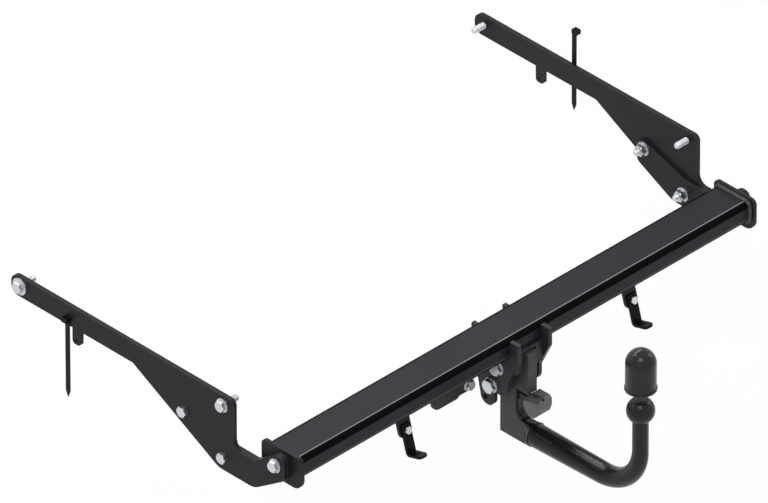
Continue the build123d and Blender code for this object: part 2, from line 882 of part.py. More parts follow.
with BuildPart() as lock_rod:
    with BuildSketch(rear_plane(lock_back + lock_socket - seat_clearance)):
        with Locations((0, -lock_depth)):
            Circle(rod_radius)
    extrude(amount=lock_back + lock_socket - seat_clearance + yoke_place - yoke_width / 2 + rod_seat)
    with BuildSketch(side_plane(-rod_radius)):
        with Locations((-yoke_place, -lock_depth)):
            Rectangle(yoke_width, yoke_height)
            SlotOverall(pin_room + crank_sink, pin_room, rotation=90, mode=Mode.SUBTRACT)
    extrude(amount=2 * rod_radius)
write(lock_rod.part, "lock_rod")

# Release handle: a rounded knob with a flat back and a sloped top, slotted for the lug and the yoke

handle_near = -handle_near_side
handle_far = handle_near + handle_width
crank_spot = (-yoke_place, -handle_depth + crank_radius - crank_sink)
slot_room = handle_lug_round + 2 * seat_clearance
pin_start = handle_near + fork_wall
pin_end = handle_far - key_depth - 2 * seat_clearance
cover_pivot = (-handle_place, -handle_depth - key_cover_drop)
slot_roof = handle_radius + handle_slot_floor
yoke_sweep = hypot(yoke_width / 2, (yoke_height + crank_sink) / 2)
slot_back = yoke_place - handle_place + yoke_sweep + seat_clearance
handle_back = slot_back + handle_wall
facet_turn = radians(handle_facet_turn)
facet_tilt = radians(handle_facet_tilt)
facet_start = (tongue_side, ball_reach - handle_facet_place, beam_rise - handle_depth + handle_top)
facet_normal = (-cos(facet_turn) * sin(facet_tilt), sin(facet_turn) * sin(facet_tilt), cos(facet_tilt))

with BuildPart() as release_handle:
    with BuildSketch(mode=Mode.PRIVATE) as knob_back:
        with BuildLine():
            Polyline(
                (handle_radius, handle_top),
                (-handle_crown, handle_top),
                (-handle_back, handle_shoulder),
                (-handle_back, handle_waist),
                (-handle_heel, -handle_heel),
                (handle_radius - 2 * handle_heel, -handle_radius),
                (handle_radius, -handle_radius),
                close=True,
            )
        make_face()
        fillet(knob_back.vertices().sort_by(Axis.X)[:2], handle_corner)
    with BuildSketch(side_plane(handle_near)):
        with Locations(handle_centre):
            Circle(handle_radius)
            add(knob_back.sketch, mode=Mode.INTERSECT)
    extrude(amount=handle_width)
    chamfer(release_handle.faces().sort_by(Axis.X)[0].edges(), handle_bevel)
    chamfer(release_handle.faces().sort_by(Axis.X)[-1].edges(), grip_bevel)
    split(bisect_by=Plane(origin=facet_start, z_dir=facet_normal), keep=Keep.BOTTOM)
    with BuildSketch(side_plane(-handle_slot / 2)):
        with Locations(handle_centre):
            Circle(slot_room)
        with Locations((2 * handle_radius - handle_place - slot_back, slot_roof - handle_depth)):
            Rectangle(4 * handle_radius, 2 * handle_radius)
        with Locations((-handle_place + handle_radius, -handle_depth + handle_radius - slot_room)):
            Rectangle(2 * handle_radius, 2 * handle_radius)
    extrude(amount=handle_slot, mode=Mode.SUBTRACT)
    with BuildSketch(side_plane(handle_far)):
        with Locations(handle_centre):
            Circle(key_diameter / 2 + fit_clearance)
    extrude(amount=-key_depth - seat_clearance, mode=Mode.SUBTRACT)
    with BuildSketch(side_plane(handle_far)):
        with Locations(handle_centre):
            Circle(handle_pin_diameter / 2 + fit_clearance)
        with Locations(crank_spot):
            Circle(crank_pin_diameter / 2 + thread_clearance)
    extrude(amount=pin_start - seat_clearance - handle_far, mode=Mode.SUBTRACT)
    with BuildSketch(side_plane(handle_far)):
        with Locations(cover_pivot):
            Circle(key_cover_pin_radius + fit_clearance)
    extrude(amount=-key_depth, mode=Mode.SUBTRACT)
write(release_handle.part, "release_handle")


def cross_pin(spot, radius, start, end):
    """Plain pin along X with chamfered ends."""
    with BuildPart() as pin:
        with BuildSketch(side_plane(start)):
            with Locations(spot):
                Circle(radius)
        extrude(amount=end - start)
        chamfer(pin.edges().filter_by(GeomType.CIRCLE), pin_bevel)
    return pin.part


write(cross_pin(handle_centre, handle_pin_diameter / 2, pin_start, pin_end), "handle_pin")
write(cross_pin(crank_spot, crank_pin_diameter / 2, pin_start, handle_far - seat_clearance), "crank_pin")

with BuildPart() as key_cylinder:
    with BuildSketch(side_plane(handle_far - key_depth)):
        with Locations(handle_centre):
            Circle(key_diameter / 2)
    extrude(amount=key_depth)
    with BuildSketch(side_plane(handle_far)):
        with Locations(handle_centre):
            SlotOverall(key_slot_length, key_slot_width, rotation=90)
    extrude(amount=-key_depth / 2, mode=Mode.SUBTRACT)
write(key_cylinder.part, "key_cylinder")

with BuildPart() as key_cover:
    with BuildSketch(side_plane(handle_far + seat_clearance)):
        with Locations(handle_centre):
            Circle(key_cover_diameter / 2)
        with Locations(cover_pivot):
            Circle(2 * key_cover_pin_radius)
        with Locations((-handle_place, -handle_depth - key_cover_drop / 2)):
            Rectangle(4 * key_cover_pin_radius, key_cover_drop)
    extrude(amount=key_cover_thickness)
    with BuildSketch(side_plane(handle_far + seat_clearance)):
        with Locations(cover_pivot):
            Circle(key_cover_pin_radius)
    extrude(amount=-key_depth + seat_clearance)
write(key_cover.part, "key_cover")

# Ball cap, lifted clear of the ball

cap_inner = ball_radius + cap_clearance
cap_outer = cap_inner + cap_wall
cap_foot = cap_lift - cap_skirt

with BuildPart() as ball_cap:
    with BuildSketch(Plane.XZ):
        with BuildLine():
            CenterArc((0, cap_lift), cap_outer, 0, 90)
            Polyline(
                (cap_outer, cap_lift),
                (cap_outer, cap_foot + cap_rim_height),
                (cap_outer + cap_rim, cap_foot + cap_rim_height),
                (cap_outer + cap_rim, cap_foot),
                (cap_inner, cap_foot),
                (cap_inner, cap_lift),
            )
            CenterArc((0, cap_lift), cap_inner, 0, 90)
            Line((0, cap_lift + cap_inner), (0, cap_lift + cap_outer))
        make_face()
    revolve(axis=Axis.Z)
write(ball_cap.part, "ball_cap")

# Socket plate that swings down on a bolt through the receiver's tab

socket_face = socket_plate_place - socket_plate_thickness / 2
tab_rear = socket_plate_place + socket_plate_thickness / 2
tab_front = tab_rear + socket_tab_thickness
tab_reach = socket_pivot_place - receiver_outer
tab_middle = (-receiver_outer - tab_reach / 2, -(socket_tab_top + socket_tab_bottom) / 2)
socket_middle = (socket_plate_top + socket_plate_bottom) / 2
socket_pivot_spot = (-socket_pivot_place, -socket_pivot_depth)
socket_pivot_hole = socket_pivot_size / 2 + fit_clearance

with BuildPart() as socket_plate:
    with BuildSketch(rear_plane(tab_rear)) as socket_outline:
        with Locations((-socket_plate_offset, -socket_middle)):
            Rectangle(socket_plate_width, socket_plate_bottom - socket_plate_top)
        fillet(socket_outline.vertices().group_by(Axis.X)[0], socket_plate_corner)
        fillet(socket_outline.vertices().group_by(Axis.X)[-1], socket_plate_inner_corner)
        with Locations((-(socket_plate_offset + socket_pivot_place) / 2, -socket_pivot_depth)):
            Rectangle(socket_plate_offset - socket_pivot_place, 2 * socket_arm_radius)
        with Locations(socket_pivot_spot):
            Circle(socket_arm_radius)
            Circle(socket_pivot_hole, mode=Mode.SUBTRACT)
        with Locations((-socket_plate_offset, -socket_hole_depth)):
            Circle(socket_hole / 2, mode=Mode.SUBTRACT)
            with PolarLocations(socket_screw_circle_diameter / 2, socket_screw_count, start_angle=-90):
                Circle(socket_screw_hole / 2, mode=Mode.SUBTRACT)
    extrude(amount=socket_plate_thickness)
write(socket_plate.part, "socket_plate")

with BuildPart() as socket_tab:
    with BuildSketch(rear_plane(tab_front)):
        with Locations(tab_middle):
            Rectangle(tab_reach, socket_tab_bottom - socket_tab_top)
        with Locations((-socket_pivot_place, -(socket_tab_top + socket_pivot_depth) / 2)):
            Rectangle(2 * socket_tab_radius, socket_pivot_depth - socket_tab_top)
        with Locations(socket_pivot_spot):
            Circle(socket_tab_radius)
            Circle(socket_pivot_hole, mode=Mode.SUBTRACT)
    extrude(amount=socket_tab_thickness)
write(socket_tab.part, "socket_tab")


def pivot_place(y):
    """Place on the socket plate's pivot axis, pointing forward."""
    spot = (-socket_pivot_place, ball_reach + y, beam_rise - socket_pivot_depth)
    return Location(Plane(origin=spot, x_dir=(1, 0, 0), z_dir=(0, 1, 0)))


pivot_start = socket_face - socket_washer_thickness
nut_start = tab_front + socket_washer_thickness
pivot_bolt = hex_bolt(
    socket_pivot_size,
    socket_pivot_flats,
    socket_pivot_head,
    socket_pivot_pitch,
    nut_start + socket_nut_height + socket_pivot_tip - pivot_start,
    tab_front - pivot_start,
)
write(group(pivot_bolt, [pivot_place(pivot_start)]), "socket_pivot_bolt")
pivot_nut = hex_nut(socket_pivot_size, socket_pivot_flats, socket_nut_height)
write(group(pivot_nut, [pivot_place(nut_start)]), "socket_pivot_nut")
pivot_washer = washer(socket_pivot_size, socket_washer_outer, socket_washer_thickness)
write(group(pivot_washer, [pivot_place(pivot_start), pivot_place(tab_front)]), "socket_pivot_washers")

# Leaning lugs under the beam with their straps

lean = radians(bracket_lean)


def lug_plane(x):
    """Plane of a lug's rear face, from the beam's underside: +X and up the lug."""
    spot = (x, ball_reach - bracket_lug_place, beam_rise - beam_under)
    return Plane(origin=spot, x_dir=(1, 0, 0), z_dir=(0, -cos(lean), sin(lean)))


with BuildPart() as bracket_lug:
    with BuildSketch(lug_plane(bracket_offset)):
        RectangleRounded(bracket_lug_width, 2 * bracket_lug_length, bracket_lug_round)
        with Locations((0, -bracket_bolt_drop)):
            Circle((bracket_bolt_size + hole_clearance) / 2, mode=Mode.SUBTRACT)
    extrude(amount=-bracket_lug_thickness)
    split(bisect_by=level_plane(-beam_under), keep=Keep.BOTTOM)
write(bracket_lug.part, "right_bracket_lug")
write(mirrored(bracket_lug.part), "left_bracket_lug")

with BuildPart() as strap_bracket:
    profile_plane = Plane(
        origin=lug_plane(bracket_offset - strap_width / 2).origin,
        x_dir=(0, -cos(lean), sin(lean)),
        z_dir=(-1, 0, 0),
    )
    with BuildSketch(profile_plane) as strap_profile:
        with BuildLine():
            Polyline(
                (0, -strap_top),
                (0, -strap_bottom),
                (strap_foot, -strap_bottom),
                (strap_foot, -strap_bottom + strap_thickness),
                (strap_thickness, -strap_bottom + strap_thickness),
                (strap_thickness, -strap_top),
                close=True,
            )
        make_face()
        bend_corners = strap_profile.vertices().sort_by(Axis.Y)
        fillet(bend_corners.sort_by(Axis((0, 0, 0), (1, 1, 0)))[0], strap_bend)
    extrude(amount=-strap_width)
    strap_end = strap_bracket.faces().sort_by(Axis((0, 0, 0), (0, -cos(lean), sin(lean))))[-1]
    fillet(strap_end.edges().sort_by(SortBy.LENGTH)[:2], strap_corner)
    with BuildSketch(lug_plane(bracket_offset)):
        with Locations((0, -bracket_bolt_drop)):
            Circle((bracket_bolt_size + hole_clearance) / 2)
    extrude(amount=strap_thickness, mode=Mode.SUBTRACT)
    foot_middle = lug_plane(bracket_offset).from_local_coords((0, -strap_bottom, strap_hole_place))
    with BuildSketch(Plane(origin=foot_middle, x_dir=(1, 0, 0), z_dir=(0, sin(lean), cos(lean)))):
        Circle(strap_hole / 2)
    extrude(amount=strap_thickness, mode=Mode.SUBTRACT)
write(strap_bracket.part, "right_strap_bracket")
write(mirrored(strap_bracket.part), "left_strap_bracket")


def strap_places(out):
    """Places on the strap bolts' axes, this far behind the lugs' rear faces, pointing forward."""
    places = []
    for x in (-bracket_offset, bracket_offset):
        spot = lug_plane(x).from_local_coords((0, -bracket_bolt_drop, out))
        places.append(Location(Plane(origin=spot, x_dir=(1, 0, 0), z_dir=(0, cos(lean), -sin(lean)))))
    return places


strap_bolt = hex_bolt(
    bracket_bolt_size,
    bracket_bolt_flats,
    bracket_bolt_head,
    bracket_bolt_pitch,
    bracket_bolt_length,
    strap_thickness,
)
strap_nut = hex_nut(bracket_bolt_size, bracket_bolt_flats, bracket_nut_height)
write(group(strap_bolt, strap_places(strap_thickness)), "strap_bolts")
write(group(strap_nut, strap_places(-bracket_lug_thickness)), "strap_nuts")

# Cable ties on the outer faces of the arms


def cable_tie(place, height):
    """Cable tie hanging on the right arm: a slotted head with a pointed strap below it."""
    with BuildPart() as tie:
        with BuildSketch(side_plane(arm_face + seat_clearance)) as strap_outline:
            with BuildLine():
                Polyline(
                    (place - tie_width / 2, height),
                    (place - tie_width / 2, height - tie_length + tie_head_width),
                    (place, height - tie_length),
                    (place + tie_width / 2, height - tie_length + tie_head_width),
                    (place + tie_width / 2, height),
                    close=True,
                )
            make_face()
        extrude(amount=tie_thickness)
        with BuildSketch(side_plane(arm_face + seat_clearance)):
            with Locations((place, height)):
                RectangleRounded(tie_head_width, tie_head_height, tie_head_round)
        extrude(amount=tie_head_depth)
        with BuildSketch(level_plane(height - tie_head_height)):
            with Locations((arm_face + seat_clearance + tie_slot_place, place)):
                Rectangle(tie_slot, tie_width + hole_clearance)
        extrude(amount=2 * tie_head_height, mode=Mode.SUBTRACT)
    return tie.part


write(cable_tie(right_tie_place, right_tie_head), "right_cable_tie")
write(mirrored(cable_tie(left_tie_place, left_tie_head)), "left_cable_tie")
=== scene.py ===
from math import radians

import bmesh
import bpy
from mathutils import Euler, Matrix, Vector


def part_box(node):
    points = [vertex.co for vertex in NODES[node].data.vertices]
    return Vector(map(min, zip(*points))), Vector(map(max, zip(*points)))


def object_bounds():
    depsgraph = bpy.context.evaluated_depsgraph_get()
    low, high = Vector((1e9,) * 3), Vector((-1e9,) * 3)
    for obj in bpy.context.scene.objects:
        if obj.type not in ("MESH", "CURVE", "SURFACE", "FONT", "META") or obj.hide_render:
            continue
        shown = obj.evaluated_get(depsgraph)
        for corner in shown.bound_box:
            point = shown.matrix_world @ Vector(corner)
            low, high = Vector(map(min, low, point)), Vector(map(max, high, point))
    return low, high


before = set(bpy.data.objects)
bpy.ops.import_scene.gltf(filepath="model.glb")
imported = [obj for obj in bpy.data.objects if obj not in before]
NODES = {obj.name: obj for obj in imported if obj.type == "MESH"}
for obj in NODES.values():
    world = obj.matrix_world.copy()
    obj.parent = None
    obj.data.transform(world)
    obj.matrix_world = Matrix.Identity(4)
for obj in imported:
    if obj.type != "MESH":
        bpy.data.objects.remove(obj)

cad_low, cad_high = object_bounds()


# Node helpers. Every pattern is laid out in the object's own metres.

# Sockets of a colour Mix node
MIX_SHARE, MIX_FIRST, MIX_SECOND, MIX_RESULT = 0, 6, 7, 2
BEVEL_SAMPLES = 6
# Cosine between the rounded and the true normal: where an edge begins and where it is full
EDGE_COSINES = (0.995, 0.80)
# The middle range that noise fills for the most part
MIDDLE = (0.3, 0.7)

# Rounding that the shaders give sharp edges, in metres
COAT_EDGE = 0.0009
BOLT_EDGE = 0.0006
WASHER_EDGE = 0.0004
PLASTIC_EDGE = 0.0008
METAL_EDGE = 0.0004
ENAMEL_EDGE = 0.0011
NYLON_EDGE = 0.0006
WELD_EDGE = 0.001


class Shader:
    """A node material with one Principled shader and the helpers that feed it."""

    def __init__(self, name):
        self.material = bpy.data.materials.new(name)
        self.material.use_nodes = True
        self.tree = self.material.node_tree
        self.tree.nodes.clear()
        self.out = self.tree.nodes.new("ShaderNodeOutputMaterial")
        self.bsdf = self.tree.nodes.new("ShaderNodeBsdfPrincipled")
        self.join(self.bsdf.outputs[0], self.out.inputs["Surface"])
        self.coords = self.tree.nodes.new("ShaderNodeTexCoord").outputs["Object"]

    def join(self, source, socket):
        self.tree.links.new(source, socket)

    def put(self, socket, value):
        if isinstance(value, bpy.types.NodeSocket):
            self.join(value, socket)
        else:
            socket.default_value = value

    def set(self, **values):
        for key, value in values.items():
            self.put(self.bsdf.inputs[key.replace("_", " ")], value)

    def noise(self, scale, detail=3.0, rough=0.5):
        node = self.tree.nodes.new("ShaderNodeTexNoise")
        node.inputs["Scale"].default_value = scale
        node.inputs["Detail"].default_value = detail
        node.inputs["Roughness"].default_value = rough
        self.join(self.coords, node.inputs["Vector"])
        return node.outputs["Fac"]

    def cells(self, scale):
        node = self.tree.nodes.new("ShaderNodeTexVoronoi")
        node.feature = "F1"
        node.inputs["Scale"].default_value = scale
        self.join(self.coords, node.inputs["Vector"])
        return node.outputs["Distance"]

    def wave(self, scale, direction, distort=0.0):
        node = self.tree.nodes.new("ShaderNodeTexWave")
        node.bands_direction = direction
        node.inputs["Scale"].default_value = scale
        node.inputs["Distortion"].default_value = distort
        self.join(self.coords, node.inputs["Vector"])
        return node.outputs["Fac"]

    def remap(self, value, low, high, to_low=0.0, to_high=1.0, smooth=True):
        node = self.tree.nodes.new("ShaderNodeMapRange")
        node.interpolation_type = "SMOOTHSTEP" if smooth else "LINEAR"
        self.join(value, node.inputs["Value"])
        node.inputs["From Min"].default_value = low
        node.inputs["From Max"].default_value = high
        node.inputs["To Min"].default_value = to_low
        node.inputs["To Max"].default_value = to_high
        return node.outputs[0]

    def math(self, kind, first, second):
        node = self.tree.nodes.new("ShaderNodeMath")
        node.operation = kind
        self.put(node.inputs[0], first)
        self.put(node.inputs[1], second)
        return node.outputs[0]

    def times(self, first, second):
        return self.math("MULTIPLY", first, second)

    def band(self, value, rise, fall):
        """1 between two soft borders, each (where it is 0, where it is 1)."""
        return self.times(self.remap(value, *rise), self.remap(value, *fall))

    def mix(self, share, first, second):
        node = self.tree.nodes.new("ShaderNodeMix")
        node.data_type = "RGBA"
        self.put(node.inputs[MIX_SHARE], share)
        for socket, colour in ((MIX_FIRST, first), (MIX_SECOND, second)):
            is_socket = isinstance(colour, bpy.types.NodeSocket)
            self.put(node.inputs[socket], colour if is_socket else (*colour, 1.0))
        return node.outputs[MIX_RESULT]

    def size_of(self, value):
        """Value without its sign."""
        return self.math("ABSOLUTE", value, 0.0)

    def axis(self, letter):
        node = self.tree.nodes.new("ShaderNodeSeparateXYZ")
        self.join(self.coords, node.inputs[0])
        return node.outputs[letter]

    def rounded(self, radius):
        """Normal that rounds every sharp edge by this many metres."""
        node = self.tree.nodes.new("ShaderNodeBevel")
        node.samples = BEVEL_SAMPLES
        node.inputs["Radius"].default_value = radius
        return node.outputs[0]

    def edges(self, radius):
        """1 on sharp edges, 0 on the open faces."""
        soft = self.rounded(radius)
        flat = self.tree.nodes.new("ShaderNodeNewGeometry").outputs["Normal"]
        node = self.tree.nodes.new("ShaderNodeVectorMath")
        node.operation = "DOT_PRODUCT"
        self.join(soft, node.inputs[0])
        self.join(flat, node.inputs[1])
        return self.remap(node.outputs["Value"], *EDGE_COSINES)

    def bumps(self, heights, radius):
        """Chain of bumps, each (height, depth in metres, strength), over rounded edges."""
        normal = self.rounded(radius)
        for height, depth, strength in heights:
            node = self.tree.nodes.new("ShaderNodeBump")
            node.inputs["Distance"].default_value = depth
            node.inputs["Strength"].default_value = strength
            self.join(height, node.inputs["Height"])
            self.join(normal, node.inputs["Normal"])
            normal = node.outputs[0]
        self.join(normal, self.bsdf.inputs["Normal"])


def coated_steel(name, low, high, rough, edge_wear_and_highlight, gloss=0.18, shade=None):
    """Black coat with an orange-peel skin, cloudy sheen and edges lightened partly as rubbed wear and partly as a
    painted highlight, and a further painted mark if one is given.
    """
    s = Shader(name)
    cloud = s.noise(7.0, 4.0, 0.6)
    grit = s.noise(420.0, 2.0, 0.6)
    blend = s.math("ADD", s.times(cloud, 0.7), s.times(grit, 0.3))
    coat = s.mix(s.remap(blend, 0.35, 0.65), low, high)
    # Sharp edges lightened partly as rubbed wear and partly as a painted highlight
    edge_rub_and_highlight = s.times(s.edges(COAT_EDGE), s.remap(s.noise(60.0, 4.0, 0.7), 0.3, 0.65, 0.35, 1.0))
    skin = s.mix(edge_rub_and_highlight, coat, edge_wear_and_highlight)
    if shade:
        skin, gloss = shade(s, skin, gloss)
    s.set(Base_Color=skin, Specular_IOR_Level=gloss,
          Roughness=s.remap(blend, *MIDDLE, rough - 0.06, rough + 0.07))
    peel = (s.noise(900.0, 2.0, 0.5), 0.00012, 0.35)
    swell = (s.noise(55.0, 2.0, 0.4), 0.0006, 0.12)
    s.bumps([peel, swell], COAT_EDGE)
    return s.material


# The tube's rounded long corners, which carry a painted dark reflection, in metres. Each border is (where it is
# 0, where it is 1).
CORNER_FROM_SIDE = (0.0102, 0.0086)
CORNER_FROM_TOP = (0.0100, 0.0070)
REAR_BORDER = (0.001, -0.001)
# How far under a face the surface still counts as that face
FACE_SKIN = (0.0004, 0.0001)
# The painted highlight lines: on the top from the rear side, on the rear side from the bottom
UPPER_LINE = ((0.0094, 0.0102), (0.0124, 0.0112))
LOWER_LINE = ((0.0082, 0.0090), (0.0108, 0.0098))
LOWER_LINE_SHARE = 0.35
CORNER_GLOSS_LOSS = 0.85
# Colours of the painted dark reflection on the corners and of the painted highlight lines
PAINTED_CORNER_REFLECTION = (0.0025, 0.0025, 0.003)
PAINTED_HIGHLIGHT_LINE = (0.24, 0.235, 0.25)


def painted_corner_shade_and_highlight(s, coat, gloss):
    """Painted dark reflection round the tube's long corners, and a painted highlight line along the rear ones."""
    low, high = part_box("crossbeam_tube")
    middle = (low + high) / 2
    place, height = s.axis("Y"), s.axis("Z")
    across = s.size_of(s.math("SUBTRACT", place, middle.y))
    up = s.size_of(s.math("SUBTRACT", height, middle.z))
    from_side = s.math("SUBTRACT", (high.y - low.y) / 2, across)
    from_top = s.math("SUBTRACT", (high.z - low.z) / 2, up)
    on_corner = s.times(s.remap(from_side, *CORNER_FROM_SIDE), s.remap(from_top, *CORNER_FROM_TOP))
    in_rear_half = s.remap(place, *(middle.y + border for border in REAR_BORDER))
    on_top = s.times(s.remap(height, *(high.z - depth for depth in FACE_SKIN)), in_rear_half)
    on_rear = s.remap(place, *(low.y + depth for depth in FACE_SKIN))
    upper = s.band(from_side, *UPPER_LINE)
    lower = s.band(height, *([low.z + border for border in side] for side in LOWER_LINE))
    faint = s.times(s.times(lower, on_rear), LOWER_LINE_SHARE)
    line = s.math("MAXIMUM", s.times(upper, on_top), faint)
    # Painted dark reflection on the corners, with the gloss cut there so that it stays dark
    dark = s.mix(on_corner, coat, PAINTED_CORNER_REFLECTION)
    dull = s.times(gloss, s.math("SUBTRACT", 1.0, s.times(on_corner, CORNER_GLOSS_LOSS)))
    # Painted highlight lines laid over it
    return s.mix(line, dark, PAINTED_HIGHLIGHT_LINE), dull


def zinc(name, low, high, rough, radius=BOLT_EDGE):
    """Bright zinc plate: soft patches over a fine crystal grain."""
    s = Shader(name)
    patch = s.noise(90.0, 3.0, 0.6)
    grain = s.cells(1500.0)
    shade = s.mix(s.remap(patch, 0.35, 0.68), low, high)
    deep = tuple(0.7 * c for c in low)
    s.set(Base_Color=s.mix(s.times(s.remap(grain, 0.2, 0.7), 0.25), shade, deep), Metallic=1.0,
          Roughness=s.remap(patch, *MIDDLE, rough - 0.06, rough + 0.08))
    crystals = (grain, 0.00004, 0.3)
    unevenness = (s.noise(500.0, 2.0), 0.00008, 0.3)
    s.bumps([crystals, unevenness], radius)
    return s.material


def moulded(name, low, high, rough, grain_scale=1400.0, grain=0.00008, gloss=0.5):
    """Moulded plastic with a fine eroded grain, its edges lightened partly as rubbed wear and partly as a painted
    highlight.
    """
    s = Shader(name)
    cloud = s.noise(25.0, 3.0, 0.5)
    dots = s.noise(grain_scale, 2.0, 0.6)
    base = s.mix(s.remap(cloud, *MIDDLE), low, high)
    # Edges lightened partly as rubbed wear and partly as a painted highlight
    edge_rub_and_highlight = s.times(s.edges(PLASTIC_EDGE), 0.5)
    pale = tuple(1.7 * c + 0.02 for c in high)
    s.set(Base_Color=s.mix(edge_rub_and_highlight, base, pale), Specular_IOR_Level=gloss,
          Roughness=s.remap(dots, *MIDDLE, rough - 0.05, rough + 0.05))
    s.bumps([(dots, grain, 0.6)], PLASTIC_EDGE)
    return s.material


def turned(name, low, high, rough, lines=0.0):
    """Bare turned or ground metal, with fine tool lines across Y where a scale for them is given."""
    s = Shader(name)
    patch = s.noise(120.0, 3.0, 0.6)
    s.set(Base_Color=s.mix(s.remap(patch, *MIDDLE), low, high), Metallic=1.0,
          Roughness=s.remap(patch, *MIDDLE, rough - 0.05, rough + 0.06))
    heights = [(s.noise(700.0, 2.0), 0.00005, 0.3)]
    if lines:
        heights.append((s.wave(lines, "Y", 0.4), 0.00003, 0.4))
    s.bumps(heights, METAL_EDGE)
    return s.material


# Where the neck's machined block and tongue begin, in metres from the ball's centre
FLANK_BORDER = (0.2640, 0.2655)
TONGUE_FOOT = (-0.0935, -0.0920)
TONGUE_REAR = (0.14, 0.16)
# How far the flank's normal turns sideways
FLANK_FACING = (0.80, 0.97)
# Height at which the trailer's coupling starts to wear the ball
WEAR_BORDER = (-0.030, -0.018)


def neck_enamel():
    """Gloss black on the bar and ball, with the machined block left duller and greyer."""
    s = Shader("neck_enamel")
    along = s.axis("Y")
    height = s.axis("Z")
    geometry = s.tree.nodes.new("ShaderNodeNewGeometry")
    facing = s.tree.nodes.new("ShaderNodeSeparateXYZ")
    s.join(geometry.outputs["True Normal"], facing.inputs[0])
    flank = s.times(s.remap(s.size_of(facing.outputs["X"]), *FLANK_FACING), s.remap(along, *FLANK_BORDER))
    tongue = s.times(s.remap(height, *TONGUE_FOOT), s.remap(along, *TONGUE_REAR))
    block = s.math("MAXIMUM", flank, tongue)
    cloud = s.noise(18.0, 4.0, 0.6)
    gloss = s.mix(s.remap(cloud, *MIDDLE), (0.0055, 0.0055, 0.006), (0.0085, 0.0085, 0.009))
    dull = s.mix(s.remap(s.noise(45.0, 5.0, 0.65), *MIDDLE),
                 (0.044, 0.0435, 0.042), (0.060, 0.059, 0.057))
    base = s.mix(block, gloss, dull)
    wear = s.remap(s.noise(160.0, 4.0, 0.7), 0.56, 0.72, 0.0, 0.35)
    contact = s.times(s.times(wear, s.remap(height, *WEAR_BORDER)), s.math("SUBTRACT", 1.0, block))
    rough = s.remap(block, 0.0, 1.0, 0.22, 0.50, smooth=False)
    s.set(Base_Color=s.mix(contact, base, (0.035, 0.035, 0.036)), Specular_IOR_Level=0.26,
          Roughness=s.math("ADD", rough, s.times(cloud, 0.08)))
    swell = (s.noise(30.0, 2.0, 0.4), 0.0004, 0.06)
    grit = (s.noise(800.0, 2.0), 0.00005, 0.2)
    s.bumps([swell, grit], ENAMEL_EDGE)
    return s.material


def tie_nylon():
    """Black nylon with the ratchet teeth pressed across the strap."""
    s = Shader("tie_nylon")
    teeth = s.wave(330.0, "Z")
    s.set(Base_Color=s.mix(s.remap(teeth, *MIDDLE), (0.0025, 0.0025, 0.0028), (0.0050, 0.0050, 0.0055)),
          Roughness=0.45, Specular_IOR_Level=0.12)
    grain = (s.noise(1100.0, 2.0), 0.00005, 0.4)
    s.bumps([(teeth, 0.0003, 0.5), grain], NYLON_EDGE)
    return s.material


def chrome():
    """Polished key barrel with faint wiping marks."""
    s = Shader("key_chrome")
    marks = s.noise(260.0, 4.0, 0.7)
    s.set(Base_Color=s.mix(s.remap(marks, *MIDDLE), (0.62, 0.63, 0.65), (0.74, 0.74, 0.76)),
          Roughness=s.remap(marks, *MIDDLE, 0.10, 0.2), Metallic=1.0)
    s.bumps([(marks, 0.00003, 0.2)], METAL_EDGE)
    return s.material


def weld_skin():
    """Coated weld bead with overlapping ripples."""
    s = Shader("weld_skin")
    ripples = s.cells(210.0)
    s.set(Base_Color=s.mix(s.remap(ripples, 0.1, 0.6), (0.040, 0.039, 0.042), (0.026, 0.026, 0.028)),
          Roughness=0.42)
    spatter = (s.noise(700.0, 2.0), 0.0002, 0.4)
    s.bumps([(ripples, 0.0014, 0.6), spatter], WELD_EDGE)
    return s.material


# Materials: name, darker and lighter shade, roughness, and for a coat the colour of its edges, lightened partly
# as rubbed wear and partly as a painted highlight

# Edge colour of the beam's parts: rubbed wear and painted highlight
BEAM_EDGE_WEAR_AND_HIGHLIGHT = (0.15, 0.145, 0.155)
# Scale of the tool lines on turned metal
TOOL_LINES = 900.0

# The tube's coat carries the painted dark reflection and the painted highlight lines on its corners
tube_coat = coated_steel("tube_coat", (0.0135, 0.0110, 0.0155), (0.0190, 0.0158, 0.0215), 0.44,
                         BEAM_EDGE_WEAR_AND_HIGHLIGHT, gloss=0.13, shade=painted_corner_shade_and_highlight)
beam_coat = coated_steel("beam_coat", (0.0135, 0.0120, 0.0150), (0.0185, 0.0168, 0.0205), 0.44,
                         BEAM_EDGE_WEAR_AND_HIGHLIGHT, gloss=0.13)
plate_coat = coated_steel("plate_coat", (0.018, 0.019, 0.022), (0.026, 0.027, 0.031), 0.40,
                          (0.14, 0.145, 0.155))
block_coat = coated_steel("block_coat", (0.042, 0.0415, 0.040), (0.058, 0.057, 0.055), 0.5,
                          (0.16, 0.155, 0.15))
strap_coat = coated_steel("strap_coat", (0.0035, 0.0035, 0.0038), (0.0060, 0.0060, 0.0064), 0.42,
                          (0.05, 0.05, 0.05), gloss=0.09)
socket_coat = coated_steel("socket_coat", (0.030, 0.031, 0.032), (0.042, 0.043, 0.045), 0.46,
                           (0.17, 0.17, 0.175))
bolt_zinc = zinc("bolt_zinc", (0.60, 0.62, 0.66), (0.74, 0.75, 0.77), 0.34)
washer_zinc = zinc("washer_zinc", (0.56, 0.58, 0.61), (0.70, 0.70, 0.70), 0.42, radius=WASHER_EDGE)
nut_zinc = zinc("nut_zinc", (0.52, 0.54, 0.58), (0.66, 0.67, 0.68), 0.36)
knob_grain = moulded("knob_grain", (0.105, 0.105, 0.103), (0.140, 0.140, 0.137), 0.5, gloss=0.4)
cover_grain = moulded("cover_grain", (0.055, 0.055, 0.055), (0.075, 0.075, 0.075), 0.45)
cap_skin = moulded("cap_skin", (0.0085, 0.0085, 0.009), (0.0125, 0.0125, 0.013), 0.22,
                   grain_scale=1600.0, grain=0.000012, gloss=0.30)
tie_skin = tie_nylon()
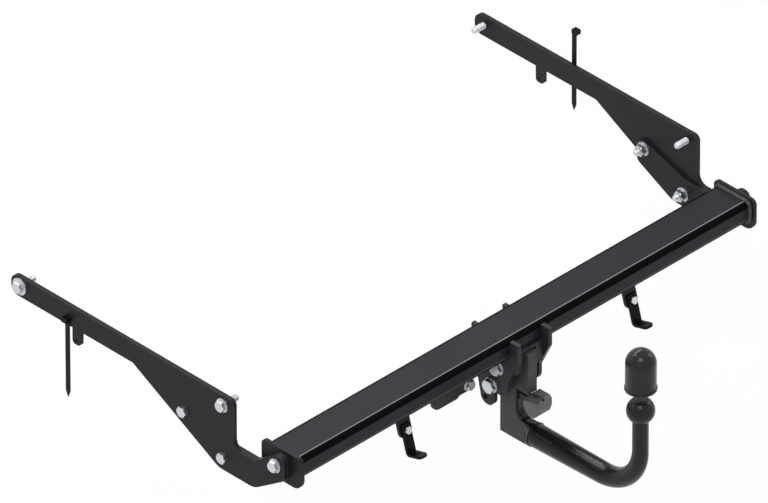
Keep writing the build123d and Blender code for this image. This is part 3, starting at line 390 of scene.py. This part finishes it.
enamel = neck_enamel()
bare_steel = turned("bare_steel", (0.42, 0.42, 0.41), (0.55, 0.55, 0.54), 0.28, lines=TOOL_LINES)
dull_steel = turned("dull_steel", (0.10, 0.10, 0.10), (0.14, 0.14, 0.14), 0.55)
bush_bronze = turned("bush_bronze", (0.13, 0.105, 0.075), (0.19, 0.155, 0.11), 0.42, lines=TOOL_LINES)
key_shine = chrome()
weld_coat = weld_skin()

FINISH = {
    tube_coat: "crossbeam_tube",
    beam_coat: "left_side_arm right_side_arm left_end_plate right_end_plate "
               "left_connector_plate right_connector_plate",
    weld_coat: "end_plate_welds",
    plate_coat: "left_receiver_plate right_receiver_plate rear_cross_plate left_bracket_lug right_bracket_lug "
                "socket_tab",
    strap_coat: "left_strap_bracket right_strap_bracket",
    block_coat: "stop_block left_guide_block right_guide_block lock_strike_block top_seat_plate",
    socket_coat: "socket_plate",
    bolt_zinc: "chassis_bolts arm_bolts beam_end_bolts receiver_bolts socket_pivot_bolt strap_bolts",
    washer_zinc: "far_washers arm_washers receiver_washers socket_pivot_washers",
    nut_zinc: "arm_nuts beam_captive_nuts socket_pivot_nut strap_nuts",
    knob_grain: "release_handle",
    cover_grain: "key_cover",
    cap_skin: "ball_cap",
    tie_skin: "left_cable_tie right_cable_tie",
    enamel: "ball_neck",
    bare_steel: "lock_spring lock_bolt handle_pin crank_pin",
    dull_steel: "lock_rod",
    bush_bronze: "lock_bush",
    key_shine: "key_cylinder",
}
for material, names in FINISH.items():
    for name in names.split():
        mesh = NODES[name].data
        mesh.materials.clear()
        mesh.materials.append(material)
        for polygon in mesh.polygons:
            polygon.material_index = 0

# Studio: pale floor, white surroundings and soft lamps

# Half the floor's side, and how deep it lies under the part: the neck hangs 0.12 m lower when it is out
FLOOR_REACH = 8.0
FLOOR_DROP = 0.15
# Share of its own white in what the camera sees of the floor
FLOOR_WHITE = 0.93
# Strength of the light from the surroundings
FILL_LIGHT = 0.55


def seen_directly(tree):
    """1 for what the camera sees straight, mirrored or through glass, and 0 for light that bounces on."""
    rays = tree.nodes.new("ShaderNodeLightPath")
    seen = rays.outputs["Is Camera Ray"]
    for kind in ("Is Glossy Ray", "Is Transmission Ray"):
        larger = tree.nodes.new("ShaderNodeMath")
        larger.operation = "MAXIMUM"
        tree.links.new(seen, larger.inputs[0])
        tree.links.new(rays.outputs[kind], larger.inputs[1])
        seen = larger.outputs[0]
    return seen


floor_mesh = bpy.data.meshes.new("floor")
outline = bmesh.new()
bmesh.ops.create_grid(outline, x_segments=2, y_segments=2, size=FLOOR_REACH)
outline.to_mesh(floor_mesh)
outline.free()
floor = bpy.data.objects.new("floor", floor_mesh)
bpy.context.scene.collection.objects.link(floor)
floor.location = (0.0, 0.4, cad_low.z - FLOOR_DROP)

paper = Shader("floor_paper")
paper.set(Base_Color=paper.mix(paper.remap(paper.noise(3.0), *MIDDLE), (0.90, 0.90, 0.90), (0.92, 0.92, 0.92)),
          Roughness=0.9, Specular_IOR_Level=0.1)
glow = paper.tree.nodes.new("ShaderNodeEmission")
glow.inputs["Color"].default_value = (1.0, 1.0, 1.0, 1.0)
both = paper.tree.nodes.new("ShaderNodeMixShader")
paper.join(paper.times(seen_directly(paper.tree), FLOOR_WHITE), both.inputs[0])
paper.join(paper.bsdf.outputs[0], both.inputs[1])
paper.join(glow.outputs[0], both.inputs[2])
paper.join(both.outputs[0], paper.out.inputs["Surface"])
floor_mesh.materials.append(paper.material)

world = bpy.data.worlds.new("studio")
bpy.context.scene.world = world
world.use_nodes = True
tree = world.node_tree
tree.nodes.clear()
sky_out = tree.nodes.new("ShaderNodeOutputWorld")
choose = tree.nodes.new("ShaderNodeMixShader")
tree.links.new(seen_directly(tree), choose.inputs[0])
for socket, colour, strength in ((1, (0.97, 0.98, 1.0, 1.0), FILL_LIGHT), (2, (1.0, 1.0, 1.0, 1.0), 1.0)):
    sky = tree.nodes.new("ShaderNodeBackground")
    sky.inputs["Color"].default_value = colour
    sky.inputs["Strength"].default_value = strength
    tree.links.new(sky.outputs[0], choose.inputs[socket])
tree.links.new(choose.outputs[0], sky_out.inputs["Surface"])


def softbox(name, place, target, width, height, power, along=None):
    """Rectangular lamp facing its target, its height laid along an axis of the object where one is given."""
    lamp = bpy.data.lights.new(name, "AREA")
    lamp.shape = "RECTANGLE"
    lamp.size = width
    lamp.size_y = height
    lamp.energy = power
    holder = bpy.data.objects.new(name, lamp)
    bpy.context.scene.collection.objects.link(holder)
    holder.location = place
    holder.rotation_mode = "QUATERNION"
    back = (Vector(place) - Vector(target)).normalized()
    if along:
        long_side = (Vector(along) - back * back.dot(Vector(along))).normalized()
        frame_axes = Matrix((long_side.cross(back), long_side, back)).transposed()
        holder.rotation_quaternion = frame_axes.to_quaternion()
    else:
        holder.rotation_quaternion = (-back).to_track_quat("-Z", "Y")


# Name, place, target, width, height and power. The two strips draw the thin streaks along the bar.
softbox("key_lamp", (-1.6, -1.2, 3.0), (0.0, 0.4, 0.0), 1.6, 1.2, 34.0)
softbox("top_lamp", (0.6, 2.2, 2.6), (0.0, 0.3, 0.0), 2.4, 0.35, 30.0)
softbox("back_lamp", (-0.9, 2.6, 3.4), (0.0, 0.3, 0.0), 0.3, 2.0, 22.0)
softbox("middle_strip", (-1.16, 1.33, 0.97), (0.0, 0.17, -0.17), 0.05, 0.34, 1.1, (0.0, 1.0, 0.0))
softbox("upper_strip", (0.98, 1.30, 1.13), (0.0, 0.14, -0.17), 0.05, 0.30, 0.7, (0.0, 1.0, 0.0))
softbox("side_lamp", (2.6, -0.6, 1.6), (0.2, 0.3, 0.0), 1.0, 1.4, 12.0)

# Camera: a very long lens, so that the view is all but parallel, as in the photograph

LENS_MM = 1120.0
SENSOR_MM = 36.0
CAMERA_PLACE = (-23.37459, -22.98486, 23.23171)
CAMERA_TURN, CAMERA_TILT, CAMERA_ROLL = 44.72781, 34.94559, -0.05078

lens = bpy.data.cameras.new("view")
lens.type = "PERSP"
lens.lens = LENS_MM
lens.sensor_width = SENSOR_MM
lens.clip_start = 1.0
lens.clip_end = 80.0
camera = bpy.data.objects.new("view", lens)
bpy.context.scene.collection.objects.link(camera)
camera.location = CAMERA_PLACE
camera.rotation_mode = "XYZ"
aim = Euler((radians(90.0 - CAMERA_TILT), 0.0, radians(-CAMERA_TURN)), "XYZ").to_matrix()
camera.rotation_euler = (aim @ Matrix.Rotation(radians(CAMERA_ROLL), 3, "Z")).to_euler("XYZ")
bpy.context.scene.camera = camera

bpy.context.scene.view_settings.view_transform = "Standard"
